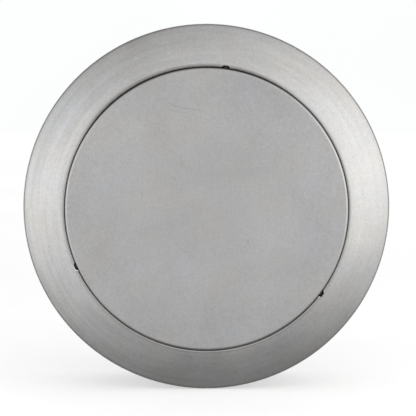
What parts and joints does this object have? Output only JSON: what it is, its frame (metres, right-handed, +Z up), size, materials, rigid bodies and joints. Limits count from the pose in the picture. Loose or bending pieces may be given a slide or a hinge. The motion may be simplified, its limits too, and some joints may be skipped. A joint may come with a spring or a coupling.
{
  "type": "spare tire cover",
  "caption": "Round steel spare tire cover: a sloping face ring, a flat lift-off centre disc, a wheel bracket and a hinged tread band that closes with a draw latch.",
  "frame": {"origin": "wheel centre on the back face of the hub plate, in the mid-plane of the tyre", "axes": "the cover's axis is Y and its face looks along -Y, +Z up with the band hinge at the top, +X to the right seen from the front"},
  "size_m": [0.74, 0.2514, 0.74],
  "materials": {
    "mill_steel": "bare satin spun steel with faint smudges",
    "disc_steel": "bare satin sheet steel, mottled, with a few fine scratches",
    "band_steel": "bare rolled sheet steel",
    "bracket_steel": "black paint over steel plate",
    "latch_steel": "zinc plated pressed steel",
    "spring_steel": "dark tempered spring steel",
    "zinc_fasteners": "zinc plated",
    "black_rubber": "satin black moulded rubber",
    "strip_rubber": "matt cellular rubber"
  },
  "bodies": {
    "face": {"face_ring": "mill_steel", "edge_hoop": "mill_steel", "rubber_bumpers": "black_rubber", "face_spider": "bracket_steel", "spider_tube": "bracket_steel", "hub_plate": "bracket_steel", "spider_pads": "black_rubber", "spider_bolts": "zinc_fasteners", "spider_nuts": "zinc_fasteners", "hinge_hanger": "latch_steel", "hanger_rivets": "zinc_fasteners", "hinge_pin": "zinc_fasteners"},
    "disc": {"centre_disc": "disc_steel", "disc_clips": "spring_steel"},
    "left_half": {"band_left": "band_steel", "hinge_leaf_left": "latch_steel", "leaf_rivets_left": "zinc_fasteners", "edge_trim_left": "black_rubber", "tread_strip_left": "strip_rubber", "latch_base": "latch_steel", "base_rivets": "zinc_fasteners", "lever_rivets": "zinc_fasteners"},
    "right_half": {"band_right": "band_steel", "hinge_leaf_right": "latch_steel", "leaf_rivets_right": "zinc_fasteners", "edge_trim_right": "black_rubber", "tread_strip_right": "strip_rubber", "latch_keeper": "latch_steel", "keeper_rivets": "zinc_fasteners"},
    "lever": {"latch_lever": "latch_steel", "bail_pin": "zinc_fasteners"},
    "bail": {"latch_bail": "zinc_fasteners"}
  },
  "joints": [
    {"name": "left_band_hinge", "type": "hinge", "parent": "face", "child": "left_half", "pos_m": [0, 0, 0.3665], "axis": [0, 1, 0], "range_deg": [0, 14]},
    {"name": "right_band_hinge", "type": "hinge", "parent": "face", "child": "right_half", "pos_m": [0, 0, 0.3665], "axis": [0, -1, 0], "range_deg": [0, 14]},
    {"name": "disc_pull", "type": "slide", "parent": "face", "child": "disc", "axis": [0, -1, 0], "range_m": [0, 0.06]},
    {"name": "lever_pivot", "type": "hinge", "parent": "left_half", "child": "lever", "pos_m": [-0.026, 0.1034, -0.344], "axis": [0, 0, -1], "range_deg": [0, 110]},
    {"name": "bail_pivot", "type": "hinge", "parent": "lever", "child": "bail", "pos_m": [-0.038, 0.1034, -0.344], "axis": [0, 0, 1], "range_deg": [0, 127]}
  ],
  "couplings": [
    {"joint": "bail_pivot", "follows": "lever_pivot", "ratio": 1.15}
  ]
}
